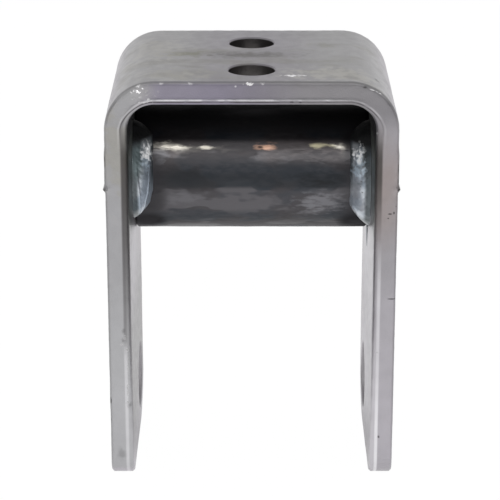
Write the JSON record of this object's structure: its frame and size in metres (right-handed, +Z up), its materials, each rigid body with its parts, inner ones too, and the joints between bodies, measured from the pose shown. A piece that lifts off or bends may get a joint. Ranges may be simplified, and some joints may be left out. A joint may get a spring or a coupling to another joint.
{
  "type": "u bracket",
  "caption": "U-shaped flat-bar steel bracket with bolt holes in its web, pin holes in its legs and a round tube fillet-welded across the inside.",
  "frame": {"origin": "middle of the footprint, level with the ends of the legs", "axes": "+Z up from the leg ends to the web, +X across the legs, +Y along the bar's width, away from the welded side of the tube"},
  "size_m": [0.1, 0.075, 0.1465],
  "materials": {
    "bar_steel": "bare hot-rolled flat bar, satin grey with faint stains and scratches",
    "tube_steel": "dark mill scale with lighter rubbed patches",
    "weld_metal": "as-welded, bluish grey with fine ripples"
  },
  "bodies": {
    "root": {"bent_bar": "bar_steel", "cross_tube": "tube_steel", "left_weld_bead": "weld_metal", "right_weld_bead": "weld_metal"}
  },
  "joints": []
}
